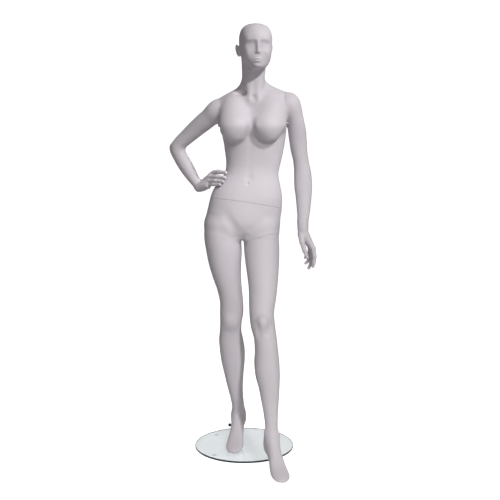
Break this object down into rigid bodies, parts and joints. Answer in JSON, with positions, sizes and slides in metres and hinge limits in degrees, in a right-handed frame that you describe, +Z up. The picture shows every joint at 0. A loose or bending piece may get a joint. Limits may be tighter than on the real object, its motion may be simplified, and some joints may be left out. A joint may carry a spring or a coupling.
{
  "type": "full body mannequin",
  "caption": "Full-body female shop mannequin, matte grey shell in take-apart sections, right hand on hip, left foot forward, standing on a round glass base.",
  "frame": {"origin": "centre of the round glass base at floor level", "axes": "+Z up; the figure faces -Y; +X is the figure's own left"},
  "size_m": [0.6099, 0.634, 1.7709],
  "materials": {
    "skin_paint": "smooth matte pale lavender-grey paint on a thin moulded shell",
    "end_board": "moulded end plates at the cut faces, painted like the body but duller",
    "steel": "turned and brushed steel fittings",
    "clear_glass": "clear toughened glass with a polished, darker green-grey edge",
    "clear_pad": "translucent bumper pads",
    "black_screw": "black plastic thumb screw"
  },
  "bodies": {
    "base": {"glass_disc": "clear_glass", "glass_pad_1": "clear_pad", "glass_pad_2": "clear_pad", "glass_pad_3": "clear_pad", "glass_pad_4": "clear_pad", "base_bolt": "steel", "rod_flange": "steel", "foot_rod": "steel"},
    "lower_body": {"lower_body_shell": "skin_paint", "ankle_socket_tube": "steel", "waist_plate_lower": "end_board", "waist_peg": "steel", "waist_peg_nut": "steel", "waist_key_pin": "steel", "left_thigh_plate_body": "end_board", "left_thigh_lock_disc": "steel"},
    "upper_body": {"upper_body_shell": "skin_paint", "waist_plate_upper": "end_board", "waist_socket": "steel", "right_shoulder_plate_body": "end_board", "right_shoulder_lock_disc": "steel", "left_shoulder_plate_body": "end_board", "left_shoulder_lock_disc": "steel"},
    "right_arm": {"right_arm_shell": "skin_paint", "right_shoulder_plate_arm": "end_board", "right_shoulder_stud": "steel", "right_shoulder_nut": "steel", "right_wrist_plate": "end_board", "right_wrist_lock_disc": "steel"},
    "left_arm": {"left_arm_shell": "skin_paint", "left_shoulder_plate_arm": "end_board", "left_shoulder_stud": "steel", "left_shoulder_nut": "steel", "left_wrist_plate": "end_board", "left_wrist_lock_disc": "steel"},
    "left_leg": {"left_leg_shell": "skin_paint", "left_thigh_plate_leg": "end_board", "left_thigh_stud": "steel", "left_thigh_nut": "steel"},
    "right_hand_body": {"right_hand": "skin_paint", "right_wrist_stud": "steel"},
    "left_hand_body": {"left_hand": "skin_paint", "left_wrist_stud": "steel"},
    "thumb_screw_body": {"thumb_screw": "black_screw"}
  },
  "joints": [
    {"name": "figure_lift", "type": "slide", "parent": "base", "child": "lower_body", "axis": [0, 0, 1], "range_m": [0, 0.3]},
    {"name": "thumb_screw_turn", "type": "hinge", "parent": "lower_body", "child": "thumb_screw_body", "pos_m": [-0.0263, 0.052, 0.077], "axis": [-1, 0, 0], "continuous": true},
    {"name": "waist_lift", "type": "slide", "parent": "lower_body", "child": "upper_body", "axis": [0.144, 0.196, 0.97], "range_m": [0, 0.1]},
    {"name": "left_thigh_turn", "type": "hinge", "parent": "lower_body", "child": "left_leg", "pos_m": [0.0725, 0.002, 0.896], "axis": [0.278, -0.248, -0.928], "range_deg": [-15, 0]},
    {"name": "right_shoulder_turn", "type": "hinge", "parent": "upper_body", "child": "right_arm", "pos_m": [-0.096, 0.013, 1.435], "axis": [-1, 0, 0], "range_deg": [0, 30]},
    {"name": "left_shoulder_turn", "type": "hinge", "parent": "upper_body", "child": "left_arm", "pos_m": [0.1695, 0.015, 1.444], "axis": [0.9993, 0, 0.037], "range_deg": [-45, 20]},
    {"name": "right_wrist_turn", "type": "hinge", "parent": "right_arm", "child": "right_hand_body", "pos_m": [-0.191, 0.037, 1.12], "axis": [0.4629, -0.165, -0.8709], "range_deg": [0, 20]},
    {"name": "left_wrist_turn", "type": "hinge", "parent": "left_arm", "child": "left_hand_body", "pos_m": [0.2436, -0.022, 0.984], "axis": [0, -0.1799, -0.9837], "range_deg": [-45, 45]}
  ]
}
